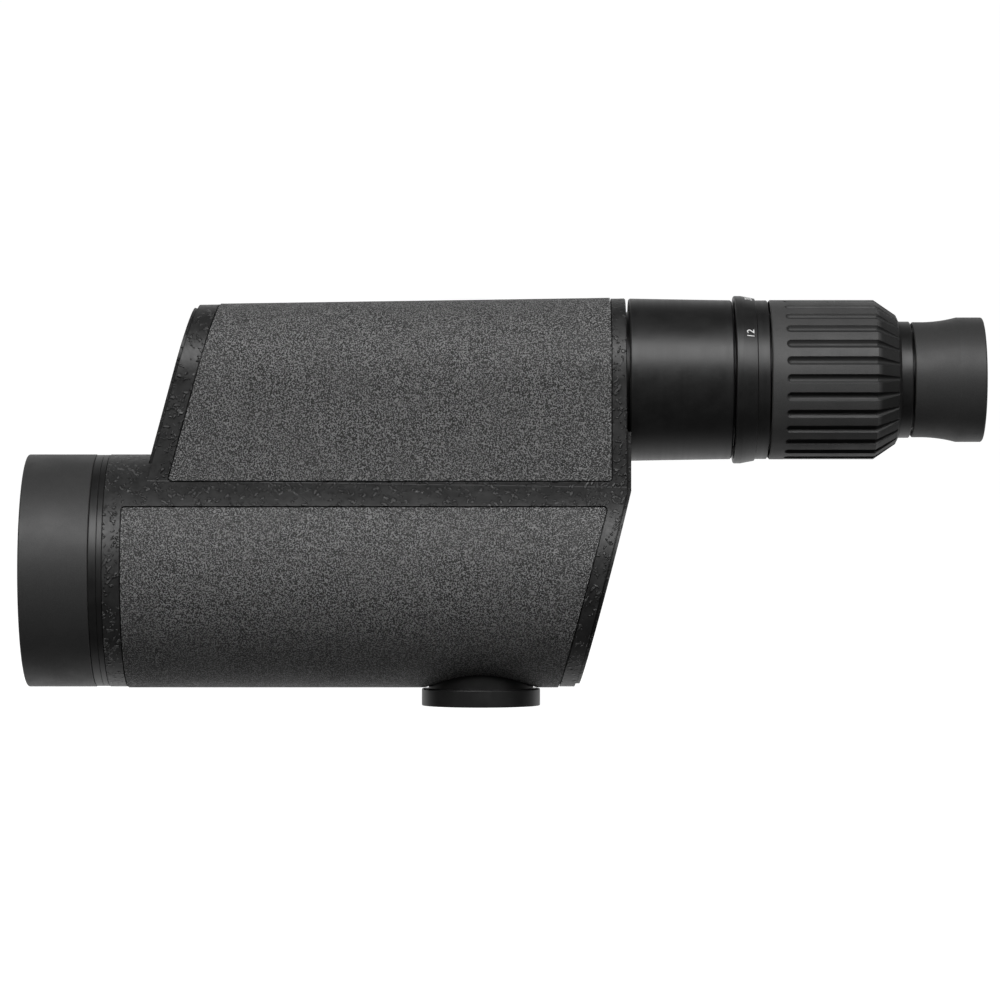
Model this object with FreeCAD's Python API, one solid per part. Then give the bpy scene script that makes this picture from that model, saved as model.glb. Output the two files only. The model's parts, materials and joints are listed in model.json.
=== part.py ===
import FreeCAD, Part
import math
import os

# Folded 12-40x60 spotting scope, millimetres. X runs along the optical axes, towards the eyepiece.
# Z is up, and the scope is symmetric about the plane Y = 0. The origin is the mouth of the tripod
# thread, in the middle of the foot's bottom face.

V = FreeCAD.Vector

# Axes and the slanted ends
OBJ_Z = 44.6                 # objective axis
EYE_Z = 107.7                # eyepiece axis
TUBE_R = 38.4                # lower tube, outside
WALL = 2.0                   # housing wall left under the armour
ARMOUR_POCKET = 1.25         # depth of the recess that holds the armour
ARMOUR_PROUD = 0.3           # armour standing out of the painted frame
ARMOUR_SEAM = 0.4            # dark joint line round each armour panel
END_WALL = 3.0               # slanted end walls
FRONT_TILT = 15.1            # front end wall from the vertical, degrees
REAR_TILT = 14.6             # rear end wall from the vertical, degrees
CHAMBER_FRONT_X = -92.8      # top of the front wall
CHAMBER_TOP_Z = 132.5
CHAMBER_FRONT_R = 24.8       # arch radius at the front
CHAMBER_REAR_X = 47.6
CHAMBER_REAR_R = 26.9        # arch radius at the rear
REAR_FOLD_Z = 70.7           # the rear wall is upright above this height
WAIST_R = 0.5                # concave corner between the chamber and the tube
EDGE_BEVEL = 0.3
BORE_R = TUBE_R - ARMOUR_POCKET - WALL

# Objective end
HOOD_X0 = -149.5
HOOD_X1 = -126.8
COLLAR_X = -122.2            # front face of the housing
LENS_R = 31.0
HOOD_MOUTH_R = 33.2
CAP_SEAT = 5.0               # smooth part of the hood's mouth

# Armour panels
UPPER_EDGE_Z = 74.2
UPPER_REAR_X = 42.5
LOWER_FRONT_X = -116.2
LOWER_EDGE_Z = 65.5
PANEL_CORNER_R = 0.8

# Tripod foot
FOOT_R = 19.56
FOOT_FLANGE = 5.6            # height of the foot's full width
SADDLE_R = 17.3              # narrower part of the foot, up to the tube
PAD_TOP_Z = 15.0
FOOT_SCREW_PCD = 27.0
THREAD_R = 2.6               # 1/4-20 UNC, minor radius
PIN_HOLE_R = 2.4
PIN_HOLE_X = -14.4

# Eyepiece barrel and its rings
SPIGOT_R = 22.4
BARREL_X0 = 48.7
BARREL_X1 = 82.65
CARRIER_R = 22.0             # tube that the zoom and focus rings turn on
CARRIER_IN_R = 19.6
CARRIER_X1 = 131.5
RUN = 0.06                   # radial clearance of a running fit
ZOOM_X0 = 83.35
ZOOM_X1 = 94.4
FOCUS_X0 = 95.0
GRIP_R = 26.35
GROOVES = 28
GROOVE_R = 1.5

# Zoom mechanism: a turning sleeve with two helical slots round a tube with straight slots
ZOOM_LOW = -58.0             # degrees from the rest setting to 12x
ZOOM_HIGH = 78.7             # degrees from the rest setting to 40x
FRONT_ZOOM_X = 22.0
REAR_ZOOM_X = 56.0
FRONT_ZOOM_RISE = 6.7        # mm per radian
REAR_ZOOM_RISE = 10.0
ZOOM_PIN_R = 1.5
GUIDE_R = 13.0
GUIDE_IN_R = 11.5
SLEEVE_R = 14.7
CELL_HALF = 6.0
DRIVE_X = 88.6

# Focus mechanism
FOCUS_CELL_X = 115.0
FOCUS_HALF_TURN = 135.0
FOCUS_RISE = 1.27            # mm per radian

# Ocular and eyecup
NECK_X0 = 137.9
NECK_X1 = 141.5
OCULAR_R = 15.6
OCULAR_X1 = 158.6
EYECUP_X0 = 142.3
EYECUP_X1 = 165.6
EYECUP_TURN = 120.0
EYECUP_RISE = 3.58           # mm per radian
EYECUP_PIN_X = 157.0

# Mirrors: both stand parallel, at half the angle of the folded light path
MIRROR_FRONT_X = -90.5
MIRROR_REAR_X = 32.5
MIRROR_TILT = math.degrees(math.atan2(EYE_Z - OBJ_Z, MIRROR_REAR_X - MIRROR_FRONT_X)) / 2
MIRROR_THICK = 5.0


# ---------------------------------------------------------------- helpers

def clean(shape):
    """The shape's solids with split faces merged: one solid, or a group of separate ones."""
    shape = shape.removeSplitter()
    if len(shape.Solids) == 1:
        return shape.Solids[0]
    return Part.makeCompound(shape.Solids)


def outline_face(points, at):
    """A face from (a, b) corners; a corner of four numbers is an arc's middle and its end."""
    edges = []
    last = at(*points[0][-2:])
    first = last
    for corner in points[1:]:
        end = at(*corner[-2:])
        if len(corner) == 4:
            edges.append(Part.Arc(last, at(*corner[:2]), end).toShape())
        else:
            edges.append(Part.makeLine(last, end))
        last = end
    if (last - first).Length > 1e-6:
        edges.append(Part.makeLine(last, first))
    return Part.Face(Part.Wire(edges))


def turned(axis_z, points):
    """Solid of revolution about the line Z = axis_z along X, from an outline of (x, radius)."""
    face = outline_face(points, lambda x, r: V(x, 0, axis_z + r))
    shape = face.revolve(V(0, 0, axis_z), V(1, 0, 0), 360)
    if shape.Volume < 0:
        shape.reverse()
    return shape


def ring(axis_z, x0, x1, r_in, r_out):
    """Plain tube along X."""
    return turned(axis_z, [(x0, r_in), (x1, r_in), (x1, r_out), (x0, r_out)])


def rod(axis_z, x0, x1, r):
    """Plain cylinder along X."""
    return Part.makeCylinder(r, x1 - x0, V(x0, 0, axis_z), V(1, 0, 0))


def spoke(axis_z, x, angle, r_in, r_out, r):
    """Cylinder that points away from the line Z = axis_z; the angle turns from +Y towards +Z."""
    way = V(0, math.cos(math.radians(angle)), math.sin(math.radians(angle)))
    return Part.makeCylinder(r, r_out - r_in, V(x, 0, axis_z) + way * r_in, way)


def side_prism(points, half_width, corner_r=0.0):
    """Prism across Y over a side outline of (x, z) corners, its upright edges rounded."""
    face = outline_face(points, lambda x, z: V(x, -half_width, z))
    prism = face.extrude(V(0, 2 * half_width, 0))
    if corner_r:
        across = [e for e in prism.Edges if abs(e.Length - 2 * half_width) < 1e-6]
        prism = prism.makeFillet(corner_r, across)
    return prism


def placed(shape, x, z, tilt, faces_front):
    """Moves a shape drawn flat in XY onto a slanted plane: its +Z becomes the way the plane faces,
    and its +X runs up the slope (facing the front) or down it (facing the rear)."""
    t = math.radians(tilt)
    up = V(math.sin(t), 0, math.cos(t))
    out = V(-math.cos(t), 0, math.sin(t))
    if not faces_front:
        up = up * -1
        out = out * -1
    moved = shape.copy()
    moved.Placement = FreeCAD.Placement(V(x, 0, z), FreeCAD.Rotation(up, V(0, 1, 0), out, "ZXY"))
    return moved


def stadium(x_flat, x_round, half_width, z0, z1):
    """Plate drawn flat: square at x_flat, and ending in a half circle centred on x_round."""
    corners = [(x_flat, -half_width), (x_round, -half_width),
               (x_round + math.copysign(half_width, x_round - x_flat), 0, x_round, half_width),
               (x_flat, half_width)]
    return outline_face(corners, lambda x, y: V(x, y, z0)).extrude(V(0, 0, z1 - z0))


def helical_slot(axis_z, start_x, start_angle, turn, rise, r_in, r_out, pin_r):
    """Track for a radial pin that winds right-handed round an axis along X, with square ends."""
    over = 1.2 * pin_r / r_in
    sweep = math.radians(turn) + 2 * over
    helix = Part.makeHelix(2 * math.pi * rise, rise * sweep, (r_in + r_out) / 2)
    half = pin_r * math.hypot(1, rise / r_in)
    corners = [V(r_in, 0, -half), V(r_out, 0, -half), V(r_out, 0, half), V(r_in, 0, half)]
    section = Part.makePolygon(corners + corners[:1])
    slot = Part.Wire(helix.Edges).makePipeShell([section], True, True)
    slot.rotate(V(0, 0, 0), V(0, 0, 1), start_angle + 90 - math.degrees(over))
    slot.rotate(V(0, 0, 0), V(0, 1, 0), 90)
    slot.translate(V(start_x - rise * over, 0, axis_z))
    return slot


def straight_slot(axis_z, x0, x1, angle, r_in, r_out, pin_r):
    """What a radial pin sweeps as it slides along X."""
    first = spoke(axis_z, x0, angle, r_in, r_out, pin_r)
    last = spoke(axis_z, x1, angle, r_in, r_out, pin_r)
    middle = Part.makeBox(x1 - x0, r_out - r_in, 2 * pin_r, V(x0, r_in, -pin_r))
    middle.rotate(V(0, 0, 0), V(1, 0, 0), angle)
    middle.translate(V(0, 0, axis_z))
    return first.fuse([middle, last])


def ring_slot(axis_z, x, angle0, angle1, r_in, r_out, pin_r):
    """What a radial pin sweeps as it turns round an axis along X."""
    corners = [V(x - pin_r, r_in, 0), V(x + pin_r, r_in, 0), V(x + pin_r, r_out, 0),
               V(x - pin_r, r_out, 0)]
    section = Part.Face(Part.makePolygon(corners + corners[:1]))
    section.rotate(V(0, 0, 0), V(1, 0, 0), angle0)
    sweep = section.revolve(V(0, 0, 0), V(1, 0, 0), angle1 - angle0)
    if sweep.Volume < 0:
        sweep.reverse()
    sweep.translate(V(0, 0, axis_z))
    ends = [spoke(axis_z, x, a, r_in, r_out, pin_r) for a in (angle0, angle1)]
    return sweep.fuse(ends)


def sag(curve_r, r):
    """Depth of a spherical face of radius curve_r at the distance r from its middle."""
    return math.copysign(abs(curve_r) - math.sqrt(curve_r ** 2 - r ** 2), curve_r)


def lens(axis_z, x_front, x_back, r, front_r, back_r):
    """Lens between two vertices on the axis; a positive radius bulges, a negative one is hollow."""
    front = [(x_front, 0), (x_front + sag(front_r, r / 2), r / 2, x_front + sag(front_r, r), r)]
    back = [(x_back - sag(back_r, r), r), (x_back - sag(back_r, r / 2), r / 2, x_back, 0)]
    return turned(axis_z, front + back)


def countersunk_screw(head_r, shank_r, length, head_depth):
    """Screw drawn along -Z with its head's top face at Z = 0, and a hexagonal socket."""
    head = Part.makeCone(shank_r, head_r, head_depth, V(0, 0, -head_depth))
    shank = Part.makeCylinder(shank_r, length, V(0, 0, -length))
    corners = [V(0.62 * head_r * math.cos(k * math.pi / 3), 0.62 * head_r * math.sin(k * math.pi / 3), 0)
               for k in range(7)]
    socket = Part.Face(Part.makePolygon(corners)).extrude(V(0, 0, -0.6 * head_depth))
    return clean(head.fuse(shank).cut(socket))


# ---------------------------------------------------------------- housing and armour

def arch_r(x):
    share = (x - CHAMBER_FRONT_X) / (CHAMBER_REAR_X - CHAMBER_FRONT_X)
    return CHAMBER_FRONT_R + share * (CHAMBER_REAR_R - CHAMBER_FRONT_R)


def arch_prism(grow, x0=-125.0, x1=70.0, floor_z=OBJ_Z):
    """Upper chamber: an arch that widens to the rear, its sides straight down to floor_z."""
    sections = []
    for x in (x0, x1):
        r = arch_r(x) + grow
        arc = Part.Arc(V(x, -r, EYE_Z), V(x, 0, EYE_Z + r), V(x, r, EYE_Z)).toShape()
        sides = Part.makePolygon([V(x, r, EYE_Z), V(x, r, floor_z), V(x, -r, floor_z), V(x, -r, EYE_Z)])
        sections.append(Part.Wire([arc] + sides.Edges))
    return Part.makeLoft(sections, True, True)


def waist_fillet(side):
    """Concave strip that rounds the corner between the chamber's side and the tube."""
    sections = []
    for x in (-125.0, 70.0):
        w = arch_r(x)
        cy = w + WAIST_R
        cz = OBJ_Z + math.sqrt((TUBE_R + WAIST_R) ** 2 - cy ** 2)
        share = TUBE_R / (TUBE_R + WAIST_R)
        on_tube = (cy * share, OBJ_Z + (cz - OBJ_Z) * share)
        down = math.atan2(on_tube[1] - cz, on_tube[0] - cy)
        middle = (math.pi + down + 2 * math.pi) / 2
        bulge = (cy + WAIST_R * math.cos(middle), cz + WAIST_R * math.sin(middle))
        corners = [(w, cz), bulge + on_tube, (w - 2.0, on_tube[1] - 2.0), (w - 2.0, cz)]
        section = outline_face(corners, lambda y, z: V(0, side * y, z)).OuterWire
        section.translate(V(x, 0, 0))
        sections.append(section)
    return Part.makeLoft(sections, True, True)


def front_x(z, behind=0.0):
    """X of the front end wall at a height, or of a plane that lies `behind` it."""
    t = math.radians(FRONT_TILT)
    return CHAMBER_FRONT_X - (CHAMBER_TOP_Z - z) * math.tan(t) + behind / math.cos(t)


def rear_x(z, before=0.0):
    """X of the slanted rear end wall at a height, or of a plane that lies `before` it."""
    t = math.radians(REAR_TILT)
    return CHAMBER_REAR_X - (REAR_FOLD_Z - z) * math.tan(t) - before / math.cos(t)


def end_limits(inset):
    """Side outline between the end walls, drawn in by `inset`, reaching far above and below."""
    return [(front_x(-20, inset), -20), (rear_x(-20, inset), -20),
            (CHAMBER_REAR_X - inset, REAR_FOLD_Z - inset * math.tan(math.radians(REAR_TILT) / 2)),
            (CHAMBER_REAR_X - inset, 160), (front_x(160, inset), 160)]


def rear_bevel():
    """Bevel round the chamber's upright rear edge; it makes the notch in front of the barrel."""
    x0 = CHAMBER_REAR_X - EDGE_BEVEL
    x1 = CHAMBER_REAR_X + 1.0
    sections = []
    for x in (x0, x1):
        r = arch_r(x0) - (x - x0)
        arc = Part.Arc(V(x, -r, EYE_Z), V(x, 0, EYE_Z + r), V(x, r, EYE_Z)).toShape()
        sides = Part.makePolygon([V(x, r, EYE_Z), V(x, r, OBJ_Z), V(x, -r, OBJ_Z), V(x, -r, EYE_Z)])
        sections.append(Part.Wire([arc] + sides.Edges))
    slab = Part.makeBox(x1 - x0, 80, 80, V(x0, -40, 75.6))
    return slab.cut(Part.makeLoft(sections, True, True))


def outer_body():
    tube = rod(OBJ_Z, COLLAR_X, 70.0, TUBE_R)
    chamber = arch_prism(0.0).fuse([waist_fillet(1), waist_fillet(-1)])
    chamber = chamber.common(side_prism(end_limits(0.0), 60)).cut(rear_bevel())
    tail = end_limits(0.0)
    tail[0] = (COLLAR_X - 1, -20)
    tail[-1] = (COLLAR_X - 1, 160)
    tube = tube.common(side_prism(tail, 60))
    return tube.fuse(chamber)


def inner_cavity():
    limits = end_limits(END_WALL)
    chamber = arch_prism(-ARMOUR_POCKET - WALL).common(side_prism(limits, 60))
    limits[0] = (COLLAR_X - 1, -20)
    limits[-1] = (COLLAR_X - 1, 160)
    bore = rod(OBJ_Z, COLLAR_X - 1, 70.0, BORE_R).common(side_prism(limits, 60))
    return bore.fuse(chamber)


def upper_panel(grow):
    """Side outline of the upper armour, spread by `grow`."""
    front = 6.6 - grow
    bottom = UPPER_EDGE_Z - grow
    corners = [(front_x(bottom, front), bottom), (UPPER_REAR_X + grow, bottom),
               (UPPER_REAR_X + grow, 150), (front_x(150, front), 150)]
    return side_prism(corners, 60, PANEL_CORNER_R + grow)


def lower_panel(grow):
    """Side outline of the lower armour, spread by `grow`."""
    top = LOWER_EDGE_Z + grow
    back = 5.1 - grow
    corners = [(LOWER_FRONT_X - grow, -10), (rear_x(-10, back), -10), (rear_x(top, back), top),
               (LOWER_FRONT_X - grow, top)]
    return side_prism(corners, 60, PANEL_CORNER_R + grow)


def armour_shell(inner, outer):
    """Skin of the chamber between two offsets from its painted surface."""
    return arch_prism(outer).cut(arch_prism(inner, -126.0, 71.0, OBJ_Z - 1))


def upper_armour():
    return clean(armour_shell(0.05 - ARMOUR_POCKET, ARMOUR_PROUD).common(upper_panel(0.0)))


def lower_armour():
    skin = ring(OBJ_Z, -130, 60, TUBE_R - ARMOUR_POCKET + 0.05, TUBE_R + ARMOUR_PROUD)
    foot_hole = Part.makeCylinder(SADDLE_R + 1.3, 40, V(0, 0, -10))
    return clean(skin.common(lower_panel(0.0)).cut(foot_hole))


def foot_screw_places():
    spread = FOOT_SCREW_PCD / 2 * math.sqrt(0.5)
    return [V(a * spread, b * spread, 0) for a in (-1, 1) for b in (-1, 1)]


FRONT_PLANE = (front_x(EYE_Z), EYE_Z, FRONT_TILT, True)
REAR_PLANE = (rear_x(OBJ_Z), OBJ_Z, REAR_TILT, False)
FRONT_WINDOW = (-17.0, 4.0, 16.4)      # flat end, round end's centre, half width
REAR_WINDOW = (-18.0, 14.0, 16.4)


def main_housing():
    body = outer_body()
    body = body.cut(armour_shell(-ARMOUR_POCKET, 8.0).common(upper_panel(ARMOUR_SEAM)))
    pocket = ring(OBJ_Z, -130, 60, TUBE_R - ARMOUR_POCKET, TUBE_R + 8)
    body = body.cut(pocket.common(lower_panel(ARMOUR_SEAM)))
    body = body.cut(inner_cavity())
    pad = Part.makeCylinder(17.5, PAD_TOP_Z - 6, V(0, 0, 6)).common(rod(OBJ_Z, -40, 40, BORE_R + 0.5))
    # boss round the eyepiece spigot, behind the chamber's rear wall
    boss = ring(EYE_Z, 38.6, CHAMBER_REAR_X - 1, SPIGOT_R, 24.6).common(arch_prism(-1.5))
    body = body.fuse([pad, boss])
    cuts = [rod(EYE_Z, 35, 60, SPIGOT_R + 0.05)]
    for place in foot_screw_places():
        cuts.append(Part.makeCylinder(1.55, 10, place + V(0, 0, 3)))
    for plane, window in ((FRONT_PLANE, FRONT_WINDOW), (REAR_PLANE, REAR_WINDOW)):
        cuts.append(placed(stadium(*window, -8.0, 5.0), *plane))
    for plane, spots in ((FRONT_PLANE, FRONT_SCREWS), (REAR_PLANE, REAR_SCREWS)):
        for x, y in spots:
            cuts.append(placed(Part.makeCylinder(1.15, 4.0, V(x, y, -2.5)), *plane))
    return clean(body.cut(cuts))


# ---------------------------------------------------------------- end covers, mirrors

PLATE = 1.0                  # cover plate
GASKET = 0.4
PLATE_FACE = PLATE + GASKET
FRONT_COVER = (-40.0, 4.0, 20.3)
REAR_COVER_INSET = 1.0       # rear cover drawn in from the housing's outline
REAR_COVER_TOP = 90.0
BARREL_CUT_R = 27.3          # the rear cover stops short of the barrel
FRONT_SCREWS = [(-14.0, -17.9), (-14.0, 17.9), (16.66, -12.66), (16.66, 12.66)]
REAR_SCREWS = [(-22.0, -18.0), (-22.0, 18.0), (8.0, -18.0), (8.0, 18.0), (29.4, -12.7), (29.4, 12.7)]


def cover_screws(spots, plane):
    screws = []
    for x, y in spots:
        screw = countersunk_screw(1.8, 1.1, 3.7, 0.9)
        screw.translate(V(x, y, PLATE_FACE - 0.05))
        screws.append(placed_copy(screw, plane))
    return Part.makeCompound(screws)


def placed_copy(shape, plane):
    """Places a shape that was already moved within its own flat drawing."""
    return placed(Part.makeCompound([shape]), *plane).Solids[0]


def screw_holes(spots, plane, r):
    return [placed_copy(Part.makeCylinder(r, 12, V(x, y, -6)), plane) for x, y in spots]


def screw_sinks(spots, plane):
    sinks = []
    for x, y in spots:
        sinks.append(placed_copy(Part.makeCone(1.15, 1.95, 0.95, V(x, y, PLATE_FACE - 0.95)), plane))
    return sinks


def front_cover_layer(z0, z1):
    plate = placed(stadium(*FRONT_COVER, z0, z1), *FRONT_PLANE)
    return plate.cut(rod(OBJ_Z, -140, 0, TUBE_R + 2.2))


def front_mirror_cover():
    plate = front_cover_layer(GASKET, PLATE_FACE)
    cuts = screw_holes(FRONT_SCREWS, FRONT_PLANE, 1.15) + screw_sinks(FRONT_SCREWS, FRONT_PLANE)
    return clean(plate.cut(cuts))


def front_cover_gasket():
    layer = front_cover_layer(0.0, GASKET).cut(placed(stadium(*FRONT_WINDOW, -5.0, 5.0), *FRONT_PLANE))
    return clean(layer.cut(screw_holes(FRONT_SCREWS, FRONT_PLANE, 1.15)))


def rear_cover_layer(z0, z1):
    """Bent layer over the rear end: slanted below the fold, upright beside the barrel above it."""
    rise = math.tan(math.radians(REAR_TILT) / 2)
    foot_z = -20.0
    back, front = CHAMBER_REAR_X + z1, CHAMBER_REAR_X + z0
    sheet = side_prism([(rear_x(foot_z, -z0), foot_z), (rear_x(foot_z, -z1), foot_z),
                        (back, REAR_FOLD_Z + z1 * rise), (back, REAR_COVER_TOP),
                        (front, REAR_COVER_TOP), (front, REAR_FOLD_Z + z0 * rise)], 60)
    outline = rod(OBJ_Z, 0.0, 70.0, TUBE_R - REAR_COVER_INSET).fuse(arch_prism(-REAR_COVER_INSET))
    return sheet.common(outline).cut(rod(EYE_Z, 30, 70, BARREL_CUT_R))


def rear_mirror_cover():
    plate = rear_cover_layer(GASKET, PLATE_FACE)
    cuts = screw_holes(REAR_SCREWS, REAR_PLANE, 1.15) + screw_sinks(REAR_SCREWS, REAR_PLANE)
    return clean(plate.cut(cuts))


def rear_cover_gasket():
    layer = rear_cover_layer(0.0, GASKET).cut(placed(stadium(*REAR_WINDOW, -5.0, 5.0), *REAR_PLANE))
    return clean(layer.cut(screw_holes(REAR_SCREWS, REAR_PLANE, 1.15)))


FRONT_GLASS = (17.0, 15.6, -2.0)       # half length, half width, shift along the slope
REAR_GLASS = (19.5, 15.6, 1.0)
MIRRORS = {
    "front": ((MIRROR_FRONT_X, EYE_Z, MIRROR_TILT, False), FRONT_GLASS, FRONT_PLANE, FRONT_WINDOW),
    "rear": ((MIRROR_REAR_X, OBJ_Z, MIRROR_TILT, True), REAR_GLASS, REAR_PLANE, REAR_WINDOW),
}


def mirror(which):
    """Front-silvered glass plate; its face passes through the optical axis."""
    plane, (half_l, half_w, shift), _, _ = MIRRORS[which]
    shift = -shift if which == "front" else shift
    glass = Part.makeBox(2 * half_l, 2 * half_w, MIRROR_THICK, V(shift - half_l, -half_w, -MIRROR_THICK))
    edges = [e for e in glass.Edges if abs(e.Length - MIRROR_THICK) < 1e-6]
    return placed_copy(glass.makeFillet(3.0, edges), plane)


def mirror_bracket(which):
    """Wedge that fills the window between the mirror's back and the cover."""
    plane, _, wall_plane, (flat, centre, half_w) = MIRRORS[which]
    plug = placed(stadium(flat + 0.3, centre, half_w - 0.3, -12.0, GASKET - 0.1), *wall_plane)
    behind = placed(Part.makeBox(120, 80, 40, V(-60, -40, -MIRROR_THICK - 0.1 - 40)), *plane)
    pocket = placed(stadium(flat + 5.0, centre, half_w - 6.0, -1.2, 3.0), *wall_plane)
    return clean(plug.common(behind).cut(pocket))


def mirror_clips():
    """Sprung metal clips, three on each long side of each glass."""
    clips = []
    for which in MIRRORS:
        plane, (half_l, half_w, shift), _, _ = MIRRORS[which]
        shift = -shift if which == "front" else shift
        for side in (-1, 1):
            for along in (-0.6, 0.6):
                x = shift + along * half_l
                leg = Part.makeBox(5.0, 0.35, MIRROR_THICK + 0.5, V(x - 2.5, half_w + 0.05, -MIRROR_THICK))
                lip = Part.makeBox(5.0, 2.2, 0.35, V(x - 2.5, half_w - 1.8, 0.15))
                clip = leg.fuse(lip).removeSplitter()
                if side < 0:
                    clip = clip.mirror(V(0, 0, 0), V(0, 1, 0))
                clips.append(placed_copy(clip, plane))
    return Part.makeCompound(clips)


# ---------------------------------------------------------------- objective

def objective_cell():
    """Black ring that shows between the hood and the housing, with the lens seat inside."""
    body = turned(OBJ_Z, [(HOOD_X1, 35.05), (HOOD_X1, 38.0), (HOOD_X1 + 0.25, 38.25), (-124.3, 38.25),
                          (-124.15, 38.05), (-124.0, 38.25), (COLLAR_X - 0.3, 38.25),
                          (COLLAR_X - 0.05, 38.0), (COLLAR_X - 0.05, BORE_R - 0.05),
                          (-106.0, BORE_R - 0.05), (-106.0, 29.6), (-107.5, 29.6),
                          (-107.5, LENS_R + 0.05), (-124.7, LENS_R + 0.05), (-124.7, 35.05)])
    groove = ring(OBJ_Z, -119.6, -117.6, BORE_R - 1.3, BORE_R + 1)
    return clean(body.cut(groove))


def dew_shield():
    """Metal tube in front of the lens: a smooth seat for a cap, then anti-glare grooves."""
    x0, x1 = HOOD_X0 + 1.6, -124.8
    points = [(x0, 36.9), (HOOD_X1 - 0.1, 36.9), (HOOD_X1 - 0.1, 35.0), (x1, 35.0), (x1, 34.0)]
    pitch = 1.6
    x = x1 - 1.0
    while x > x0 + CAP_SEAT + pitch:
        points += [(x, HOOD_MOUTH_R), (x - 0.6 * pitch, HOOD_MOUTH_R + 0.7)]
        x -= pitch
    return clean(turned(OBJ_Z, points + [(x0 + CAP_SEAT, HOOD_MOUTH_R), (x0, HOOD_MOUTH_R)]))


def hood_sleeve():
    """Smooth rubber sleeve on the hood, wrapped over its front edge."""
    e = 0.6
    k = e * (1 - math.sqrt(0.5))
    x0, x1, r = HOOD_X0, HOOD_X1 - 0.05, TUBE_R
    m = HOOD_MOUTH_R
    points = [(x0, r - e), (x0 + k, r - k, x0 + e, r), (x1 - 0.25, r), (x1, r - 0.25), (x1, 36.95),
              (x0 + 1.5, 36.95), (x0 + 1.5, m), (x0 + e, m), (x0 + k, m + k, x0, m + e)]
    return clean(turned(OBJ_Z, points))


def objective_lenses():
    crown = lens(OBJ_Z, -121.5, -112.4, LENS_R, 190.0, 140.0)
    flint = lens(OBJ_Z, -111.9, -108.4, LENS_R, -138.0, 420.0)
    return crown, flint


# ---------------------------------------------------------------- tripod foot

def tripod_foot():
    """Short round plinth with a narrower neck; the neck's top is a saddle that fits the tube."""
    foot = Part.makeCylinder(FOOT_R, FOOT_FLANGE)
    foot = foot.makeFillet(0.3, [e for e in foot.Edges if e.Closed])
    foot = foot.fuse(Part.makeCylinder(SADDLE_R, 16))
    cuts = [rod(OBJ_Z, -40, 40, TUBE_R - ARMOUR_POCKET + 0.05)]
    cuts.append(Part.makeCylinder(5.05, 20, V(0, 0, -1)))
    cuts.append(Part.makeCylinder(PIN_HOLE_R, 5.5, V(PIN_HOLE_X, 0, -1)))
    for place in foot_screw_places():
        cuts.append(Part.makeCylinder(1.55, 20, place))
        cuts.append(Part.makeCone(3.15, 1.55, 1.6, place))
    return clean(foot.cut(cuts))


def tripod_thread_insert():
    insert = Part.makeCylinder(5.0, 7.3).cut(Part.makeCylinder(THREAD_R, 20, V(0, 0, -5)))
    return clean(insert)


def tripod_foot_screws():
    screws = []
    for place in foot_screw_places():
        screw = countersunk_screw(3.0, 1.5, 11.5, 1.5)
        screw.rotate(V(0, 0, 0), V(1, 0, 0), 180)
        screw.translate(place + V(0, 0, 0.05))
        screws.append(screw)
    return Part.makeCompound(screws)


# ---------------------------------------------------------------- eyepiece barrel and zoom

def eyepiece_barrel():
    body = turned(EYE_Z, [
        (39.0, 19.6), (39.0, SPIGOT_R), (BARREL_X0, SPIGOT_R), (BARREL_X0, 26.4), (BARREL_X0 + 0.5, 26.85),
        (BARREL_X1 - 0.4, 26.3), (BARREL_X1, 25.9), (BARREL_X1, CARRIER_R), (CARRIER_X1, CARRIER_R),
        (CARRIER_X1, CARRIER_IN_R), (80.5, CARRIER_IN_R), (79.0, 23.6), (53.0, 23.6), (51.5, 19.6)])
    cuts = [ring_slot(EYE_Z, DRIVE_X, -90 + ZOOM_LOW - 1, -90 + ZOOM_HIGH + 1, 18, 23, 1.6)]
    cuts.append(straight_slot(EYE_Z, FOCUS_CELL_X - 3.1, FOCUS_CELL_X + 3.1, 0, 18, 23, ZOOM_PIN_R + 0.03))
    for x in SEAL_X:
        cuts.append(ring(EYE_Z, x - 0.65, x + 0.65, CARRIER_R - 1.1, CARRIER_R + 1))
    cuts.append(ring(EYE_Z, 43.4, 44.8, SPIGOT_R - 1.1, SPIGOT_R + 1))
    cuts.append(Part.makeCylinder(0.65, 1.0, V(INDEX_X, 0, EYE_Z + 26.0)))
    return clean(body.cut(cuts))


SEAL_X = (92.6, 98.5)
INDEX_X = 79.8


def o_ring(axis_z, x, r_mid, section_r):
    torus = Part.makeTorus(r_mid, section_r, V(x, 0, axis_z), V(1, 0, 0))
    return torus


def guide_tube():
    """Fixed inner tube; the lens cells slide in it, and their pins run in its straight slots."""
    body = turned(EYE_Z, [(-28, GUIDE_IN_R), (-28, GUIDE_R), (92.6, GUIDE_R), (92.6, CARRIER_IN_R - 0.05),
                          (97.0, CARRIER_IN_R - 0.05), (97.0, GUIDE_IN_R)])
    cuts = []
    for x, rise in ((FRONT_ZOOM_X, FRONT_ZOOM_RISE), (REAR_ZOOM_X, REAR_ZOOM_RISE)):
        x0 = x - rise * math.radians(ZOOM_HIGH) - 0.1
        x1 = x - rise * math.radians(ZOOM_LOW) + 0.1
        cuts.append(straight_slot(EYE_Z, x0, x1, 90, 10, 14, ZOOM_PIN_R + 0.03))
    return clean(body.cut(cuts))


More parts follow.
